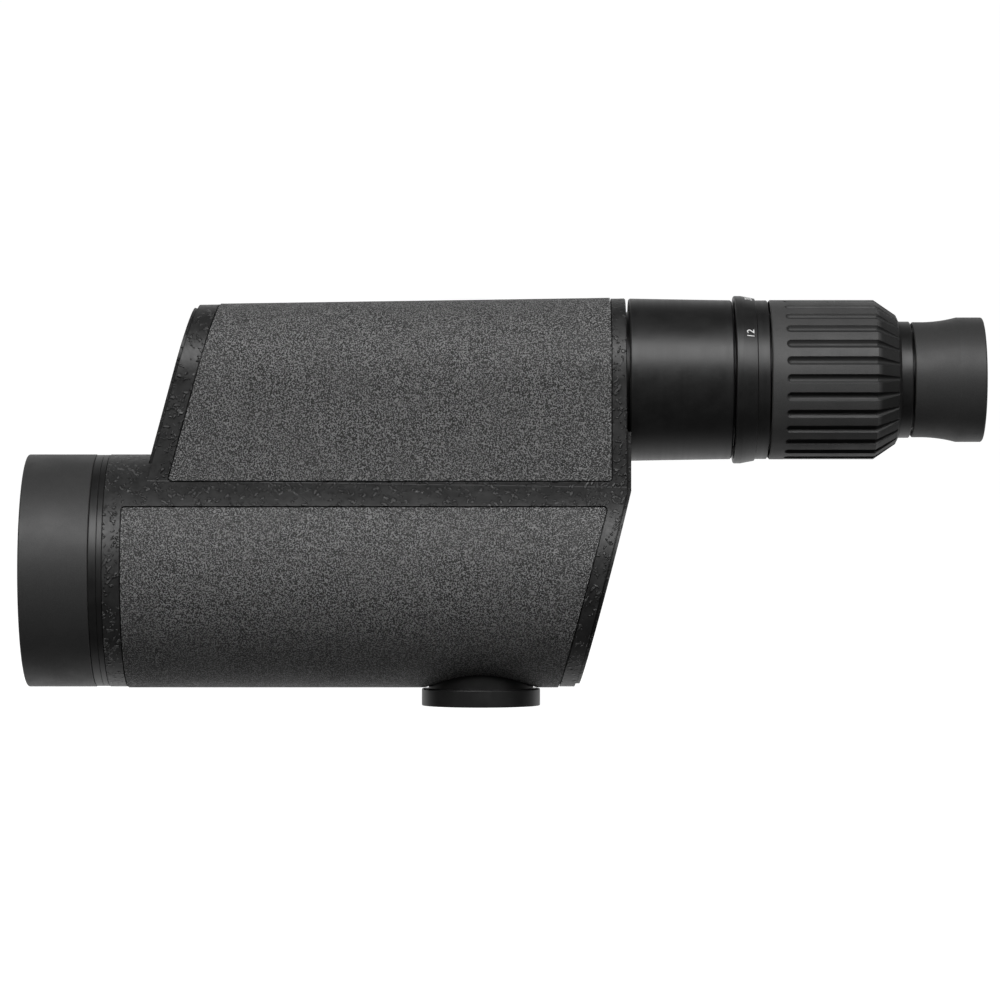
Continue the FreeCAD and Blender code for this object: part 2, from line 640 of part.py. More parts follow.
def zoom_cam_sleeve():
    """Turning sleeve; one helical slot drives each lens cell's pin."""
    body = turned(EYE_Z, [(4.0, GUIDE_R + RUN), (4.0, SLEEVE_R), (85.3, SLEEVE_R), (85.3, 19.4),
                          (92.0, 19.4), (92.0, GUIDE_R + RUN)])
    cuts = []
    for x, rise in ((FRONT_ZOOM_X, FRONT_ZOOM_RISE), (REAR_ZOOM_X, REAR_ZOOM_RISE)):
        start = x - rise * math.radians(ZOOM_HIGH)
        cuts.append(helical_slot(EYE_Z, start, 90 - ZOOM_HIGH, ZOOM_HIGH - ZOOM_LOW, rise,
                                 GUIDE_R - 0.6, SLEEVE_R + 0.8, ZOOM_PIN_R + 0.04))
    cuts.append(spoke(EYE_Z, DRIVE_X, -90, 15, 25, 1.53))
    return clean(body.cut(cuts))


def zoom_cell(x):
    body = ring(EYE_Z, x - CELL_HALF, x + CELL_HALF, 9.0, GUIDE_IN_R - RUN)
    seat = ring(EYE_Z, x - CELL_HALF - 1, x + CELL_HALF - 1.5, 5, 9.9)
    hole = spoke(EYE_Z, x, 90, 5, 15, ZOOM_PIN_R + 0.02)
    return clean(body.cut([seat, hole]))


def zoom_pin(x):
    return spoke(EYE_Z, x, 90, 9.95, SLEEVE_R - 0.1, ZOOM_PIN_R)


def zoom_lens(x):
    return lens(EYE_Z, x - 3.2, x + 3.2, 9.85, 30.0, 30.0)


def zoom_ring():
    """Numbered power ring with a raised lip at its front."""
    body = turned(EYE_Z, [
        (ZOOM_X0, CARRIER_R + RUN), (ZOOM_X0, 27.4), (ZOOM_X0 + 0.3, 27.7), (85.7, 27.7), (90.2, 26.85),
        (90.5, 26.25), (ZOOM_X1 - 0.2, 26.25), (ZOOM_X1, 26.05), (ZOOM_X1, CARRIER_R + RUN)])
    hole = spoke(EYE_Z, DRIVE_X, -90, 20, 25.2, 1.53)
    return clean(body.cut(hole))


def zoom_drive_screw():
    """Grub screw that ties the power ring to the cam sleeve through the barrel's slot."""
    return spoke(EYE_Z, DRIVE_X, -90, 15.1, 25.1, 1.5)


# ---------------------------------------------------------------- focus

BEVEL_X = 129.6
BEVEL_END = (136.8, 21.45)
GRIP_END = (137.8, 19.4)


def focus_ring_core():
    body = turned(EYE_Z, [
        (FOCUS_X0 + 0.6, CARRIER_R + RUN), (FOCUS_X0 + 0.6, 24.6), (129.86, 24.6), (136.0, 20.42),
        (136.0, 19.4), (CARRIER_X1 + 0.5, 19.4), (CARRIER_X1 + 0.5, CARRIER_R + RUN)])
    turn = 2 * FOCUS_HALF_TURN + 2
    start = FOCUS_CELL_X - FOCUS_RISE * math.radians(turn / 2)
    groove = helical_slot(EYE_Z, start, -turn / 2, turn, FOCUS_RISE, CARRIER_R - 0.5, 23.6, ZOOM_PIN_R + 0.04)
    return clean(body.cut(groove))


def focus_grip():
    """Rubber grip: round-bottomed grooves that run out over the rear bevel as narrowing notches."""
    body = turned(EYE_Z, [
        (FOCUS_X0, 24.65), (FOCUS_X0, GRIP_R - 0.4), (FOCUS_X0 + 0.4, GRIP_R), (BEVEL_X, GRIP_R), BEVEL_END,
        GRIP_END, (136.05, 19.4), (136.05, 20.47), (129.9, 24.65)])
    x0 = 99.7 + GROOVE_R
    depth = 1.15
    axis_r = GRIP_R + GROOVE_R - depth
    groove = Part.makeCylinder(GROOVE_R, BEVEL_X - x0, V(x0, 0, axis_r), V(1, 0, 0))
    groove = groove.fuse(Part.makeSphere(GROOVE_R, V(x0, 0, axis_r)))
    run_out = V(BEVEL_END[0] + 1.2 - BEVEL_X, 0, BEVEL_END[1] - GRIP_R - 0.8)
    notch = Part.makeCone(GROOVE_R, 0.55, run_out.Length, V(BEVEL_X, 0, axis_r), run_out)
    cutter = groove.fuse([notch, Part.makeSphere(GROOVE_R, V(BEVEL_X, 0, axis_r))]).removeSplitter()
    cutters = []
    for k in range(GROOVES):
        one = cutter.copy()
        one.rotate(V(0, 0, 0), V(1, 0, 0), 90 + 0.7 + k * 360 / GROOVES)
        one.translate(V(0, 0, EYE_Z))
        cutters.append(one)
    return clean(body.cut(cutters))


def focus_cell():
    x = FOCUS_CELL_X
    body = ring(EYE_Z, x - 6, x + 6, 14.6, CARRIER_IN_R - RUN)
    seat = ring(EYE_Z, x - 7, x + 4.5, 10, 16.6)
    hole = spoke(EYE_Z, x, 0, 10, 20, ZOOM_PIN_R + 0.02)
    return clean(body.cut([seat, hole]))


def focus_pin():
    return spoke(EYE_Z, FOCUS_CELL_X, 0, 16.7, 23.4, ZOOM_PIN_R)


# ---------------------------------------------------------------- ocular and eyecup

def ocular_housing():
    """Rear tube: threaded into the barrel, a visible neck, then the tube that carries the eyecup."""
    body = turned(EYE_Z, [
        (126.2, 12.4), (126.2, CARRIER_IN_R - 0.05), (131.8, CARRIER_IN_R - 0.05), (131.8, 19.25),
        (NECK_X1 - 0.25, 19.25), (NECK_X1, 19.0), (NECK_X1, OCULAR_R), (OCULAR_X1 - 0.3, OCULAR_R),
        (OCULAR_X1, OCULAR_R - 0.3), (OCULAR_X1, 13.6), (127.6, 13.6), (127.6, 12.4)])
    keyway = Part.makeBox(16.0, 3.2, 2.0, V(NECK_X1 + 1.4, -1.6, EYE_Z + OCULAR_R - 1.0))
    cuts = [keyway] + [spoke(EYE_Z, EYECUP_PIN_X, a, 10, 18, 1.02) for a in (0, 180)]
    return clean(body.cut(cuts))


def eyecup_guide_pins():
    return Part.makeCompound([spoke(EYE_Z, EYECUP_PIN_X, a, 13.7, 17.3, 1.0) for a in (0, 180)])


def eyecup_slider():
    """Keyed ring that may only slide; it holds the turning eyecup sleeve in place along the axis."""
    body = ring(EYE_Z, 144.0, 148.0, OCULAR_R + RUN, 16.85)
    key = Part.makeBox(4.0, 3.0, 1.4, V(144.0, -1.5, EYE_Z + OCULAR_R - 0.9))
    return clean(body.fuse(key))


def eyecup_sleeve():
    body = turned(EYE_Z, [
        (EYECUP_X0 + 0.5, OCULAR_R + RUN), (EYECUP_X0 + 0.5, 17.7), (163.2, 17.7), (163.2, 16.4),
        (159.6, 16.4), (159.6, OCULAR_R + RUN), (148.1, OCULAR_R + RUN), (148.1, 16.95), (143.9, 16.95),
        (143.9, OCULAR_R + RUN)])
    turn = EYECUP_TURN
    start = EYECUP_PIN_X - EYECUP_RISE * math.radians(turn)
    cuts = [helical_slot(EYE_Z, start, a - turn, turn, EYECUP_RISE, 15.0, 18.2, 1.04) for a in (0, 180)]
    return clean(body.cut(cuts))


def eyecup_rubber():
    """Soft flared cup with a rolled rim."""
    x0, x1 = EYECUP_X0, EYECUP_X1
    points = [(x0, 17.75), (x0, 18.75), (x0 + 0.3, 19.05), (146.0, 19.05), (151.6, 19.5, 157.0, 20.6),
              (164.8, 20.6), (x1 - 0.15, 20.35, x1, 19.8), (x1, 18.4), (165.2, 17.3, 164.4, 16.6),
              (163.25, 16.6), (163.25, 17.75)]
    return clean(turned(EYE_Z, points))


# ---------------------------------------------------------------- all nodes

def build_nodes():
    crown, flint = objective_lenses()
    x = FOCUS_CELL_X
    baffle = ring(OBJ_Z, -61.5, -60.0, 25.5, BORE_R - 0.05)
    baffle = baffle.cut(Part.makeBox(10, 80, 20, V(-65, -40, 76.0)))
    seals = [o_ring(EYE_Z, s, CARRIER_R - 0.52, 0.5) for s in SEAL_X]
    nodes = {
        "main_housing": main_housing(),
        "upper_armor": upper_armour(),
        "lower_armor": lower_armour(),
        "front_mirror_cover": front_mirror_cover(),
        "front_cover_gasket": front_cover_gasket(),
        "front_cover_screws": cover_screws(FRONT_SCREWS, FRONT_PLANE),
        "rear_mirror_cover": rear_mirror_cover(),
        "rear_cover_gasket": rear_cover_gasket(),
        "rear_cover_screws": cover_screws(REAR_SCREWS, REAR_PLANE),
        "mirror_clips": mirror_clips(),
        "objective_cell": objective_cell(),
        "objective_crown_lens": crown,
        "objective_flint_lens": flint,
        "objective_lens_spacer": ring(OBJ_Z, -115.62, -115.46, 30.0, LENS_R),
        "objective_retainer": ring(OBJ_Z, -124.6, -119.3, 29.4, LENS_R),
        "objective_o_ring": o_ring(OBJ_Z, -118.6, BORE_R - 0.62, 0.6),
        "dew_shield": dew_shield(),
        "hood_sleeve": hood_sleeve(),
        "stray_light_baffle": clean(baffle),
        "tripod_foot": tripod_foot(),
        "tripod_thread_insert": tripod_thread_insert(),
        "tripod_foot_screws": tripod_foot_screws(),
        "eyepiece_barrel": eyepiece_barrel(),
        "barrel_o_ring": o_ring(EYE_Z, 44.1, SPIGOT_R - 0.52, 0.5),
        "zoom_index_mark": Part.makeCylinder(0.6, 0.28, V(INDEX_X, 0, EYE_Z + 26.04)),
        "ring_seals": Part.makeCompound(seals),
        "guide_tube": guide_tube(),
        "guide_tube_lock_ring": ring(EYE_Z, 97.05, 100.0, 15.0, CARRIER_IN_R - 0.05),
        "field_lens": lens(EYE_Z, -26.5, -22.5, GUIDE_IN_R - 0.1, 60.0, 60.0),
        "field_lens_cap": ring(EYE_Z, -30.0, -28.05, 9.8, GUIDE_R),
        "zoom_ring": zoom_ring(),
        "zoom_cam_sleeve": zoom_cam_sleeve(),
        "zoom_drive_screw": zoom_drive_screw(),
        "front_zoom_cell": zoom_cell(FRONT_ZOOM_X),
        "front_zoom_lens": zoom_lens(FRONT_ZOOM_X),
        "front_zoom_pin": zoom_pin(FRONT_ZOOM_X),
        "rear_zoom_cell": zoom_cell(REAR_ZOOM_X),
        "rear_zoom_lens": zoom_lens(REAR_ZOOM_X),
        "rear_zoom_pin": zoom_pin(REAR_ZOOM_X),
        "focus_ring_core": focus_ring_core(),
        "focus_grip": focus_grip(),
        "focus_cell": focus_cell(),
        "focus_lens": lens(EYE_Z, x - 2.2, x + 2.8, 16.5, -90.0, 60.0),
        "focus_pin": focus_pin(),
        "ocular_housing": ocular_housing(),
        "ocular_field_lens": lens(EYE_Z, 128.6, 136.0, 13.5, 50.0, 38.0),
        "ocular_spacer": ring(EYE_Z, 136.2, 147.5, 12.4, 13.5),
        "eye_lens": lens(EYE_Z, 147.3, 157.2, 13.5, 60.0, 60.0),
        "ocular_retainer": ring(EYE_Z, 157.2, 158.4, 11.8, 13.5),
        "eyecup_guide_pins": eyecup_guide_pins(),
        "eyecup_slider": eyecup_slider(),
        "eyecup_sleeve": eyecup_sleeve(),
        "eyecup_rubber": eyecup_rubber(),
    }
    for which in MIRRORS:
        nodes[which + "_mirror"] = mirror(which)
        nodes[which + "_mirror_bracket"] = mirror_bracket(which)
    return nodes


os.makedirs("parts", exist_ok=True)
for name, shape in build_nodes().items():
    assert shape.isValid(), name
    assert all(s.Volume > 0 for s in shape.Solids), name
    shape.exportStep("parts/%s.step" % name)
    print("%-24s solids %d  volume %.1f" % (name, len(shape.Solids), shape.Volume))
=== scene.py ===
import json
import math

import bpy
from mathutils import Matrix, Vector


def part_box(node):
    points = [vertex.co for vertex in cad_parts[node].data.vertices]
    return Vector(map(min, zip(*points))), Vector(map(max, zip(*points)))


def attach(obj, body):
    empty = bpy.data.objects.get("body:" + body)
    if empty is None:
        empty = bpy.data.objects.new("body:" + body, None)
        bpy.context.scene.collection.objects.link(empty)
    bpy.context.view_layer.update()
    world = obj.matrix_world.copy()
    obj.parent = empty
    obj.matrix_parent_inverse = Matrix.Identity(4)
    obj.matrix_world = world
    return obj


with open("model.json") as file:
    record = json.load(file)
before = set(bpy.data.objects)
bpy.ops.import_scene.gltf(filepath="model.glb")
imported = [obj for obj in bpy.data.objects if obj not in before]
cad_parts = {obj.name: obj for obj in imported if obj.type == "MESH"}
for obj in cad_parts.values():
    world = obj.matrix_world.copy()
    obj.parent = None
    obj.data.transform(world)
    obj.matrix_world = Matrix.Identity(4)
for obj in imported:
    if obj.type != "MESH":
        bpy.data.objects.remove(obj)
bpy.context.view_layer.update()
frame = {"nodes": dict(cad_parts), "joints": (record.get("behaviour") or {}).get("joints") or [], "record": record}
MM = 0.001


# ---------------------------------------------------------------- places read from the frame

def centre(node):
    low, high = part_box(node)
    return (low + high) / 2


EYE = centre("eyepiece_barrel")          # a point on the eyepiece axis
RING_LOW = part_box("zoom_ring")[0]
GRIP_R = (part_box("focus_grip")[1].z - EYE.z) / MM


# ---------------------------------------------------------------- material kit

class Look:
    """One procedural material. Its patterns read the piece's own coordinates, in millimetres."""

    def __init__(self, name, rough=0.5, metal=0.0, **constants):
        self.material = bpy.data.materials.new(name)
        self.material.use_nodes = True
        self.tree = self.material.node_tree
        self.shader = self.tree.nodes["Principled BSDF"]
        self.shader.inputs["Roughness"].default_value = rough
        self.shader.inputs["Metallic"].default_value = metal
        for socket, value in constants.items():
            self.shader.inputs[socket.replace("_", " ")].default_value = value
        own = self.add("ShaderNodeTexCoord").outputs["Object"]
        self.mm = self.vector("MULTIPLY", own, (1000, 1000, 1000))
        self.normal = None

    def add(self, kind, **settings):
        node = self.tree.nodes.new(kind)
        for key, value in settings.items():
            setattr(node, key, value)
        return node

    def put(self, socket, value):
        if isinstance(value, bpy.types.NodeSocket):
            self.tree.links.new(value, socket)
        else:
            socket.default_value = value

    def vector(self, operation, a, b):
        node = self.add("ShaderNodeVectorMath", operation=operation)
        self.put(node.inputs[0], a)
        self.put(node.inputs[1], b)
        return node.outputs[0]

    def maths(self, operation, a, b=0.0, c=0.0, clamp=False):
        node = self.add("ShaderNodeMath", operation=operation, use_clamp=clamp)
        for socket, value in zip(node.inputs, (a, b, c)):
            self.put(socket, value)
        return node.outputs[0]

    def stretched(self, stretch):
        return self.vector("MULTIPLY", self.mm, stretch)

    def turned(self, degrees, stretch):
        """Coordinates turned about each axis and then stretched, for patterns that run one way."""
        node = self.add("ShaderNodeMapping", vector_type="POINT")
        self.put(node.inputs["Vector"], self.mm)
        node.inputs["Rotation"].default_value = [math.radians(d) for d in degrees]
        return self.vector("MULTIPLY", node.outputs[0], stretch)

    def off_axis(self, axis_point):
        """Distance in mm from the line along X through a point."""
        where = (0.0, -axis_point.y / MM, -axis_point.z / MM)
        flat = self.vector("MULTIPLY", self.vector("ADD", self.mm, where), (0, 1, 1))
        node = self.add("ShaderNodeVectorMath", operation="LENGTH")
        self.put(node.inputs[0], flat)
        return node.outputs["Value"]

    def noise(self, size, detail=2.0, rough=0.5, where=None, distortion=0.0):
        """Soft blotches about `size` mm across."""
        node = self.add("ShaderNodeTexNoise")
        self.put(node.inputs["Vector"], where or self.mm)
        node.inputs["Scale"].default_value = 1.0 / size
        node.inputs["Detail"].default_value = detail
        node.inputs["Roughness"].default_value = rough
        node.inputs["Distortion"].default_value = distortion
        return node.outputs["Fac"]

    def cells(self, size, where=None):
        """Distance to the nearest of points scattered about `size` mm apart."""
        node = self.add("ShaderNodeTexVoronoi", feature="F1", distance="EUCLIDEAN")
        self.put(node.inputs["Vector"], where or self.mm)
        node.inputs["Scale"].default_value = 1.0 / size
        node.inputs["Randomness"].default_value = 1.0
        return node.outputs["Distance"]

    def spread(self, value, low, high, to_low, to_high, smooth=True):
        """Maps low..high to to_low..to_high, and holds the ends."""
        kind = "SMOOTHSTEP" if smooth else "LINEAR"
        node = self.add("ShaderNodeMapRange", interpolation_type=kind)
        for socket, number in zip(node.inputs, (value, low, high, to_low, to_high)):
            self.put(socket, number)
        return node.outputs["Result"]

    def blend(self, share, a, b):
        node = self.add("ShaderNodeMix", data_type="RGBA")
        self.put(node.inputs[0], share)
        self.put(node.inputs[6], a if isinstance(a, bpy.types.NodeSocket) else (*a, 1.0))
        self.put(node.inputs[7], b if isinstance(b, bpy.types.NodeSocket) else (*b, 1.0))
        return node.outputs[2]

    def soften(self, radius):
        """Rounds sharp edges in the shading by `radius` mm."""
        node = self.add("ShaderNodeBevel", samples=4)
        node.inputs["Radius"].default_value = radius * MM
        self.normal = node.outputs["Normal"]

    def relief(self, height, depth, strength=1.0):
        """Raises the surface by `depth` mm where height is 1."""
        node = self.add("ShaderNodeBump")
        node.inputs["Strength"].default_value = strength
        node.inputs["Distance"].default_value = depth * MM
        self.put(node.inputs["Height"], height)
        if self.normal is not None:
            self.put(node.inputs["Normal"], self.normal)
        self.normal = node.outputs["Normal"]

    def done(self, colour, rough=None):
        if isinstance(colour, bpy.types.NodeSocket):
            self.put(self.shader.inputs["Base Color"], colour)
        else:
            self.shader.inputs["Base Color"].default_value = (*colour, 1.0)
        if rough is not None:
            self.put(self.shader.inputs["Roughness"], rough)
        if self.normal is not None:
            self.put(self.shader.inputs["Normal"], self.normal)
        return self.material


def grey(level, warm=0.0):
    return (level * (1 + warm), level, level * (1 - warm))


# ---------------------------------------------------------------- materials

def armour_rubber():
    """Moulded rubber with a tight maze of rounded ridges, painted darker in the valleys as painted shade and
    lighter on the tops as a painted highlight.
    """
    look = Look("armour_rubber", Specular_IOR_Level=0.40)
    drift = look.noise(5.0, 1.0)
    bent = look.vector("ADD", look.mm, look.vector("MULTIPLY", drift, (1.5, 1.5, 1.5)))
    maze = look.noise(0.40, 0.0, where=bent, distortion=0.5)
    ridge = look.spread(maze, 0.45, 0.64, 0.0, 1.0)
    fine = look.spread(look.noise(0.22, 1.0, 0.5, where=bent), 0.3, 0.7, 0.0, 1.0)
    height = look.maths("MULTIPLY", ridge, 0.8)
    height = look.maths("ADD", height, look.maths("MULTIPLY", fine, 0.2))
    look.relief(look.noise(9.0, 2.0), 0.10)
    look.relief(height, 0.20)
    patch = look.noise(14.0, 3.0, 0.6)
    # painted shade and painted highlight: the colour runs from near black in the valleys to light grey on the
    # ridge tops
    colour = look.blend(height, grey(0.002), grey(0.265))
    colour = look.blend(look.spread(patch, 0.35, 0.7, 0.0, 0.18), colour, grey(0.095, 0.01))
    wear = look.maths("ADD", look.maths("MULTIPLY", height, 0.5), patch)
    return look.done(colour, look.spread(wear, 0.3, 1.2, 0.68, 0.52))


def smooth_rubber(name, level, rough_low, rough_high, along=(1.0, 0.06, 0.06), land_r=None):
    """Smooth matt rubber: a fine skin with faint lines left by the tool, and dusty patches.
    Below land_r, the radius of the lands in mm, the grooves are painted near black as painted shade."""
    look = Look(name, Specular_IOR_Level=0.45)
    look.soften(0.2)
    skin = look.noise(0.22, 2.0, 0.6)
    lines = look.noise(0.35, 1.0, 0.5, where=look.stretched(along))
    patch = look.noise(11.0, 3.0, 0.6)
    look.relief(look.noise(5.0, 1.0), 0.03)
    look.relief(lines, 0.012)
    look.relief(skin, 0.012)
    speck = look.spread(look.cells(2.4), 0.0, 0.07, 1.0, 0.0)
    grain = look.spread(skin, 0.35, 0.65, 0.0, 1.0)
    colour = look.blend(grain, grey(level * 0.82), grey(level * 1.15))
    colour = look.blend(look.spread(patch, 0.4, 0.75, 0.0, 0.35), colour, grey(level * 1.5, 0.01))
    colour = look.blend(look.maths("MULTIPLY", speck, 0.25), colour, grey(level * 2.6))
    if land_r:
        # painted shade: the grooves below the lands are darkened towards black
        groove_shade = look.spread(look.off_axis(EYE), land_r - 1.15, land_r - 0.1, 1.0, 0.0)
        colour = look.blend(look.maths("MULTIPLY", groove_shade, 0.85), colour, grey(level * 0.12))
    wear = look.maths("ADD", patch, look.maths("MULTIPLY", lines, 0.4))
    return look.done(colour, look.spread(wear, 0.4, 1.0, rough_high, rough_low))


def textured_paint(name, level=0.021):
    """Stoved black paint on a casting: an orange-peel skin with scattered short creases, and pits.
    The creases carry a painted highlight with painted shadow round their foot, and the pits painted shade."""
    look = Look(name, Specular_IOR_Level=0.5)
    look.soften(0.25)
    drift = look.noise(6.5, 2.0, 0.6)
    peel = look.noise(1.3, 2.0, 0.55)
    curl = look.vector("MULTIPLY", look.noise(2.2, 1.0), (3.4, 3.4, 3.4))
    clusters = look.spread(look.noise(5.5, 1.0), 0.36, 0.50, 0.0, 1.0)
    creases = None
    crease_shadows = None
    for degrees in ((12, 42, 20), (-25, -28, 65)):
        where = look.vector("ADD", look.turned(degrees, (0.42, 1.0, 1.25)), curl)
        cell = look.cells(1.9, where=where)
        crease = look.spread(cell, 0.18, 0.34, 1.0, 0.0)
        # painted shadow: a dark ring round the foot of each crease
        foot = look.spread(cell, 0.32, 0.48, 1.0, 0.0)
        creases = crease if creases is None else look.maths("MAXIMUM", creases, crease)
        crease_shadows = foot if crease_shadows is None else look.maths("MAXIMUM", crease_shadows, foot)
    creases = look.maths("MULTIPLY", creases, clusters)
    crease_shadows = look.maths("MULTIPLY", crease_shadows, clusters)
    pit = look.spread(look.cells(3.2), 0.04, 0.11, 1.0, 0.0)
    look.relief(drift, 0.10)
    look.relief(peel, 0.03)
    look.relief(creases, 0.50)
    look.relief(pit, -0.10)
    look.relief(look.noise(0.25, 2.0), 0.008)
    colour = look.blend(look.spread(drift, 0.3, 0.7, 0.0, 1.0), grey(level * 0.8), grey(level * 1.25))
    # painted shadow round the feet of the creases
    colour = look.blend(look.maths("MULTIPLY", crease_shadows, 0.75), colour, grey(level * 0.25))
    # painted highlight: the creases are coloured light grey as if lit from above
    colour = look.blend(look.maths("MULTIPLY", creases, 0.75), colour, grey(level * 4.0))
    # painted shade: the pits are darkened
    colour = look.blend(look.maths("MULTIPLY", pit, 0.6), colour, grey(level * 0.4))
    rough = look.spread(look.maths("ADD", peel, look.maths("MULTIPLY", drift, 0.6)), 0.5, 1.1, 0.36, 0.50)
    return look.done(colour, rough)


def anodised(name, level=0.014, rough_low=0.36, rough_high=0.43, turned=0.010):
    """Satin black anodised aluminium: fine rings left by the lathe, and a slight bloom."""
    look = Look(name, Specular_IOR_Level=0.55)
    look.soften(0.12)
    rings = look.noise(0.30, 2.0, 0.6, where=look.stretched((1.0, 0.004, 0.004)))
    bands = look.noise(1.7, 1.0, 0.5, where=look.stretched((1.0, 0.004, 0.004)))
    bloom = look.noise(8.0, 3.0, 0.65)
    fine = look.noise(0.09, 1.0)
    look.relief(rings, turned)
    look.relief(fine, 0.004)
    colour = look.blend(look.spread(bloom, 0.35, 0.7, 0.0, 1.0), grey(level * 0.85), grey(level * 1.3))
    mixed = look.maths("ADD", look.maths("MULTIPLY", bands, 0.5), look.maths("MULTIPLY", bloom, 0.5))
    rough = look.spread(mixed, 0.3, 0.7, rough_low, rough_high)
    return look.done(colour, rough)


def machined(name, colour, rough=0.28):
    """Bare turned metal with lathe rings and small stains."""
    look = Look(name, metal=1.0)
    rings = look.noise(0.12, 2.0, 0.6, where=look.stretched((1.0, 0.02, 0.02)))
    stain = look.noise(4.0, 3.0, 0.6)
    look.relief(rings, 0.006)
    dull = tuple(c * 0.72 for c in colour)
    shade = look.blend(look.spread(stain, 0.35, 0.7, 0.0, 1.0), dull, colour)
    return look.done(shade, look.spread(stain, 0.3, 0.7, rough + 0.14, rough))


def black_inside():
    """Matt anti-glare black inside the optical parts."""
    look = Look("matt_inside", Specular_IOR_Level=0.25)
    grain = look.noise(0.3, 2.0)
    patch = look.noise(5.0, 2.0)
    look.relief(grain, 0.02)
    colour = look.blend(patch, grey(0.007), grey(0.014))
    return look.done(colour, look.spread(patch, 0.3, 0.7, 0.55, 0.72))


def coated_glass():
    """Optical glass under an interference coating that reflects dim green and violet."""
    look = Look("coated_glass", rough=0.0, Transmission_Weight=1.0, IOR=1.52)
    look.shader.inputs["Thin Film Thickness"].default_value = 330.0
    look.shader.inputs["Thin Film IOR"].default_value = 1.38
    smear = look.noise(9.0, 2.0, 0.5)
    dust = look.spread(look.cells(4.0), 0.0, 0.03, 1.0, 0.0)
    haze = look.maths("MULTIPLY", look.spread(smear, 0.5, 0.75, 0.0, 1.0), 0.02)
    rough = look.maths("ADD", haze, look.maths("MULTIPLY", dust, 0.3))
    colour = look.blend(smear, (0.90, 0.97, 0.95), (0.95, 0.93, 0.98))
    return look.done(colour, rough)


def silvered():
    look = Look("silvered_glass", rough=0.03, metal=1.0)
    haze = look.noise(7.0, 2.0)
    colour = look.blend(haze, (0.86, 0.88, 0.90), (0.93, 0.93, 0.93))
    return look.done(colour, look.spread(haze, 0.4, 0.7, 0.02, 0.07))


def seal_rubber():
    look = Look("seal_rubber", Specular_IOR_Level=0.4)
    skin = look.noise(0.4, 2.0)
    look.relief(skin, 0.01)
    colour = look.blend(skin, grey(0.003), grey(0.008))
    return look.done(colour, look.spread(skin, 0.3, 0.7, 0.45, 0.6))


def filled_paint():
    """White paint filled into an engraving: slightly uneven and soiled."""
    look = Look("filled_white", Specular_IOR_Level=0.4)
    grain = look.noise(0.12, 2.0)
    dirt = look.noise(0.8, 2.0)
    look.relief(grain, 0.01)
    colour = look.blend(look.spread(dirt, 0.5, 0.8, 0.0, 0.5), grey(0.82), grey(0.55, 0.02))
    return look.done(colour, look.spread(grain, 0.3, 0.7, 0.45, 0.6))


LOOKS = {
    "frame_paint": textured_paint("frame_paint"),
    "cover_paint": textured_paint("cover_paint", 0.019),
    "armor_rubber": armour_rubber(),
    "hood_rubber": smooth_rubber("hood_rubber", 0.036, 0.46, 0.56),
    "grip_rubber": smooth_rubber("grip_rubber", 0.052, 0.48, 0.58, land_r=GRIP_R),
    "eyecup_rubber": smooth_rubber("eyecup_rubber", 0.036, 0.46, 0.56),
    "black_anodised": anodised("black_anodised", 0.010),
    "inner_black": black_inside(),
    "screw_black": anodised("black_oxide", 0.03, 0.30, 0.45, 0.004),
    "steel": machined("steel", (0.56, 0.56, 0.58)),
    "brass": machined("brass", (0.72, 0.53, 0.27), 0.32),
    "lens_glass": coated_glass(),
    "mirror_coat": silvered(),
    "seal_rubber": seal_rubber(),
    "slider_plastic": smooth_rubber("slider_plastic", 0.03, 0.40, 0.50),
    "mark_white": filled_paint(),
}


def dress_cad_nodes():
    for entry in frame["record"]["subparts"]:
        node = frame["nodes"][entry["node"]]
        look = LOOKS[entry["material_slot"]]
        node.data.materials.clear()
        node.data.materials.append(look)


# ---------------------------------------------------------------- numbers on the zoom ring

DIAL_NUMBERS = (12, 20, 30, 40)
DIAL_LAW = 1.32              # how the turn grows with the logarithm of the power
DIGIT_HEIGHT = 2.5 * MM
CAPITAL_SHARE = 0.72         # height of a digit as a share of the font's size
INK = 0.03 * MM              # how far the filled numbers stand out of the ring
DIAL_FRONT = 2.35 * MM       # from the ring's front face to the start of its sloping face
DIAL_MIDDLE = 4.6 * MM       # from the ring's front face to the middle of the numbers
DIAL_SLOPE = 0.85 / 4.5      # how fast the sloping face falls towards the eyepiece
NEAR_FACE = 2.2 * MM         # how far along the ring its radius is searched for


def zoom_joint():
    return next(j for j in frame["joints"] if j["name"] == "zoom_turn")


def dial_angle(power):
    """Degrees from the top of the ring, towards +Y, at which a power is engraved at rest.
    The lowest power is at the low end of the zoom's range, and the highest at its high end."""
    low, high = zoom_joint()["range_deg"]
    whole = math.log(DIAL_NUMBERS[-1] / DIAL_NUMBERS[0])
    return low + (high - low) * (math.log(power / DIAL_NUMBERS[0]) / whole) ** DIAL_LAW


def ring_radius(x):
    """Outer radius of the zoom ring's sloping face, read from its mesh."""
    near = [math.hypot(v.co.y - EYE.y, v.co.z - EYE.z)
            for v in frame["nodes"]["zoom_ring"].data.vertices if abs(v.co.x - x) < NEAR_FACE]
    return max(near)


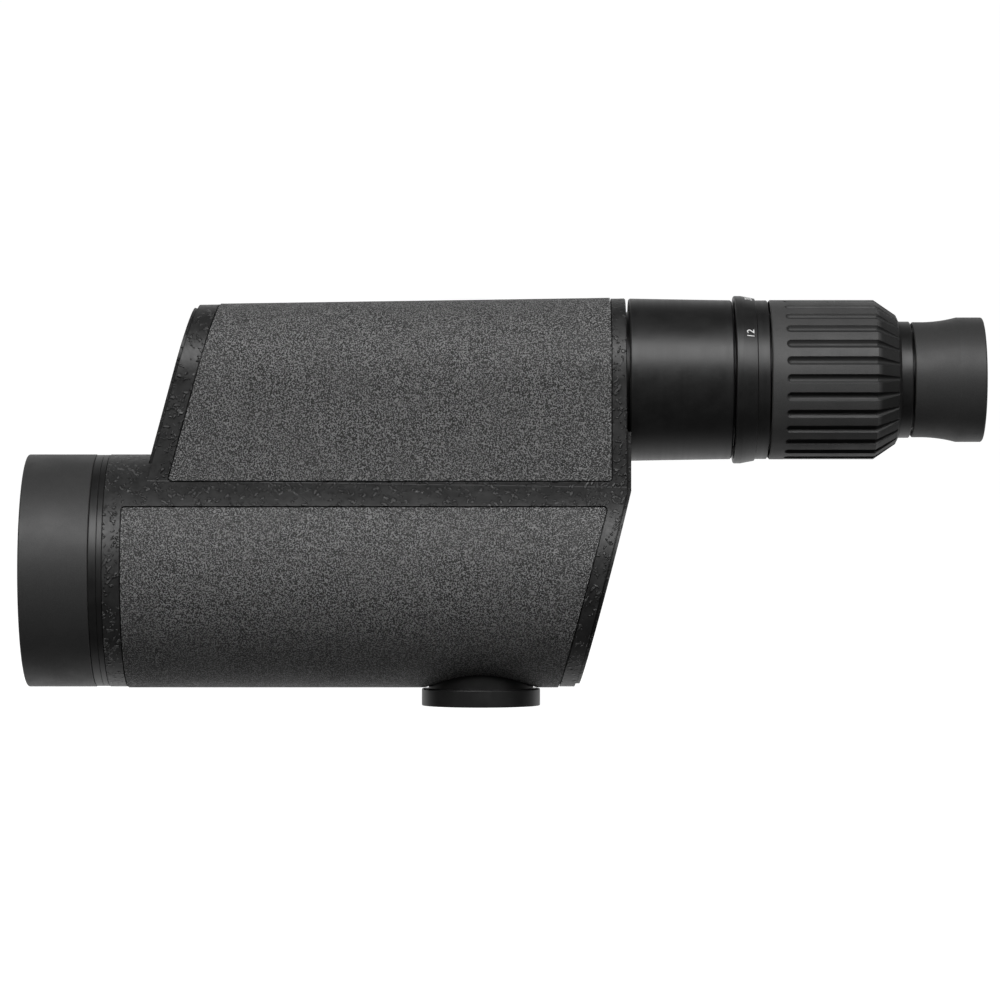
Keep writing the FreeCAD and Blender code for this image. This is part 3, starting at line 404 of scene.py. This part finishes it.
def dial_number(power, middle_x):
    """A number wrapped round the ring, its foot towards the eyepiece."""
    font = bpy.data.curves.new("dial_%d" % power, "FONT")
    font.body = str(power)
    font.size = DIGIT_HEIGHT / CAPITAL_SHARE
    font.align_x = "CENTER"
    font.resolution_u = 6
    font.offset = 0.02 * MM
    font.space_character = 1.02
    flat = bpy.data.objects.new("flat", font)
    bpy.context.scene.collection.objects.link(flat)
    bpy.context.view_layer.update()
    mesh = bpy.data.meshes.new_from_object(flat.evaluated_get(bpy.context.evaluated_depsgraph_get()))
    bpy.data.objects.remove(flat)
    angle0 = math.radians(dial_angle(power))
    for vertex in mesh.vertices:
        across, up = vertex.co.x, vertex.co.y - DIGIT_HEIGHT / 2
        x = middle_x - up
        radius = DIAL_R + (middle_x - x) * DIAL_SLOPE + INK
        angle = angle0 + across / radius
        vertex.co = Vector((x, EYE.y + radius * math.sin(angle), EYE.z + radius * math.cos(angle)))
    piece = bpy.data.objects.new("dial_%d" % power, mesh)
    bpy.context.scene.collection.objects.link(piece)
    thick = piece.modifiers.new("thick", "SOLIDIFY")
    thick.thickness = 2 * INK
    thick.offset = 0.0
    mesh.materials.append(LOOKS["mark_white"])
    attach(piece, "zoom")
    return piece


DIAL_X = RING_LOW.x + DIAL_MIDDLE
DIAL_R = ring_radius(RING_LOW.x + DIAL_FRONT) - (DIAL_MIDDLE - DIAL_FRONT) * DIAL_SLOPE


# ---------------------------------------------------------------- stage

CAMERA_DISTANCE = 1.493
CAMERA_AIM = (0.0063, 0.0679)            # X and Z of the point on the axes' plane that it faces
LENS_MM = 162.4
SENSOR_MM = 36.0
FLOOR_GLOW = 1.0
FLOOR_ALBEDO = 0.25
FLOOR_SIDES = 96
# Radius and height of the floor's rings, in metres: flat, then curving up into a backdrop.
FLOOR_RINGS = ((1.5, 0.0), (4.0, 0.0), (7.0, 0.0), (8.5, 0.4), (9.2, 1.6), (9.4, 5.0), (9.4, 12.0))
KEY_PLACE = (0.0, -1.16, 1.07)
KEY_AIM = (0.0, 0.0, 0.07)
KEY_SIZE = (3.2, 0.75)
KEY_WATTS = 38.0
ROOM_AXIS = (0.0, 1.0, -0.3)             # the room is brightest this way
ROOM_RAMP = (0.0, 0.05, 1.05, 0.04, 0.85)    # value (linked below), from low, high, to low, high


def make_camera():
    data = bpy.data.cameras.new("camera")
    data.lens = LENS_MM
    data.sensor_width = SENSOR_MM
    data.clip_end = 50.0
    camera = bpy.data.objects.new("camera", data)
    camera.location = (CAMERA_AIM[0], -CAMERA_DISTANCE, CAMERA_AIM[1])
    camera.rotation_euler = (math.radians(90), 0, 0)
    bpy.context.scene.collection.objects.link(camera)
    bpy.context.scene.camera = camera


def stage_material(name, glow, albedo):
    material = bpy.data.materials.new(name)
    material.use_nodes = True
    tree = material.node_tree
    tree.nodes.clear()
    out = tree.nodes.new("ShaderNodeOutputMaterial")
    both = tree.nodes.new("ShaderNodeAddShader")
    light = tree.nodes.new("ShaderNodeEmission")
    light.inputs["Strength"].default_value = glow
    matt = tree.nodes.new("ShaderNodeBsdfDiffuse")
    matt.inputs["Color"].default_value = (*grey(albedo), 1.0)
    tree.links.new(light.outputs[0], both.inputs[0])
    tree.links.new(matt.outputs[0], both.inputs[1])
    tree.links.new(both.outputs[0], out.inputs["Surface"])
    return material


def make_floor():
    """Pale floor that curves up into a round backdrop; only the camera sees it, so that it
    throws no light up at the scope."""
    count = FLOOR_SIDES
    points = [(r * math.cos(2 * math.pi * k / count), r * math.sin(2 * math.pi * k / count), z)
              for r, z in FLOOR_RINGS for k in range(count)]
    points.append((0.0, 0.0, 0.0))
    faces = [(k, (k + 1) % count, len(points) - 1) for k in range(count)]
    for row in range(len(FLOOR_RINGS) - 1):
        for k in range(count):
            a, b = row * count + k, row * count + (k + 1) % count
            faces.append((a, a + count, b + count, b))
    mesh = bpy.data.meshes.new("floor")
    mesh.from_pydata(points, [], faces)
    mesh.polygons.foreach_set("use_smooth", [True] * len(faces))
    mesh.materials.append(stage_material("pale_floor", FLOOR_GLOW, FLOOR_ALBEDO))
    floor = bpy.data.objects.new("floor", mesh)
    bpy.context.scene.collection.objects.link(floor)
    floor.visible_diffuse = False
    floor.visible_glossy = False
    floor.visible_transmission = False
    floor.visible_shadow = False


def softbox(name, where, aim, size, power):
    data = bpy.data.lights.new(name, "AREA")
    data.shape = "RECTANGLE"
    data.size, data.size_y = size
    data.energy = power
    light = bpy.data.objects.new(name, data)
    light.location = where
    way = Vector(aim) - Vector(where)
    light.rotation_euler = way.to_track_quat("-Z", "Y").to_euler()
    bpy.context.scene.collection.objects.link(light)


def make_lights():
    """One long softbox in front and above, and a white room behind that only grazes the edges."""
    softbox("key", KEY_PLACE, KEY_AIM, KEY_SIZE, KEY_WATTS)
    world = bpy.data.worlds.new("studio")
    bpy.context.scene.world = world
    world.use_nodes = True
    tree = world.node_tree
    back = tree.nodes["Background"]
    back.inputs["Color"].default_value = (1.0, 1.0, 1.0, 1.0)
    own = tree.nodes.new("ShaderNodeTexCoord")
    along = tree.nodes.new("ShaderNodeVectorMath")
    along.operation = "DOT_PRODUCT"
    along.inputs[1].default_value = ROOM_AXIS
    tree.links.new(own.outputs["Generated"], along.inputs[0])
    ramp = tree.nodes.new("ShaderNodeMapRange")
    ramp.interpolation_type = "SMOOTHSTEP"
    for socket, number in zip(ramp.inputs, ROOM_RAMP):
        socket.default_value = number
    tree.links.new(along.outputs["Value"], ramp.inputs[0])
    tree.links.new(ramp.outputs["Result"], back.inputs["Strength"])


dress_cad_nodes()
for power in DIAL_NUMBERS:
    dial_number(power, DIAL_X)
make_camera()
make_floor()
make_lights()
bpy.context.scene.view_settings.view_transform = "Standard"
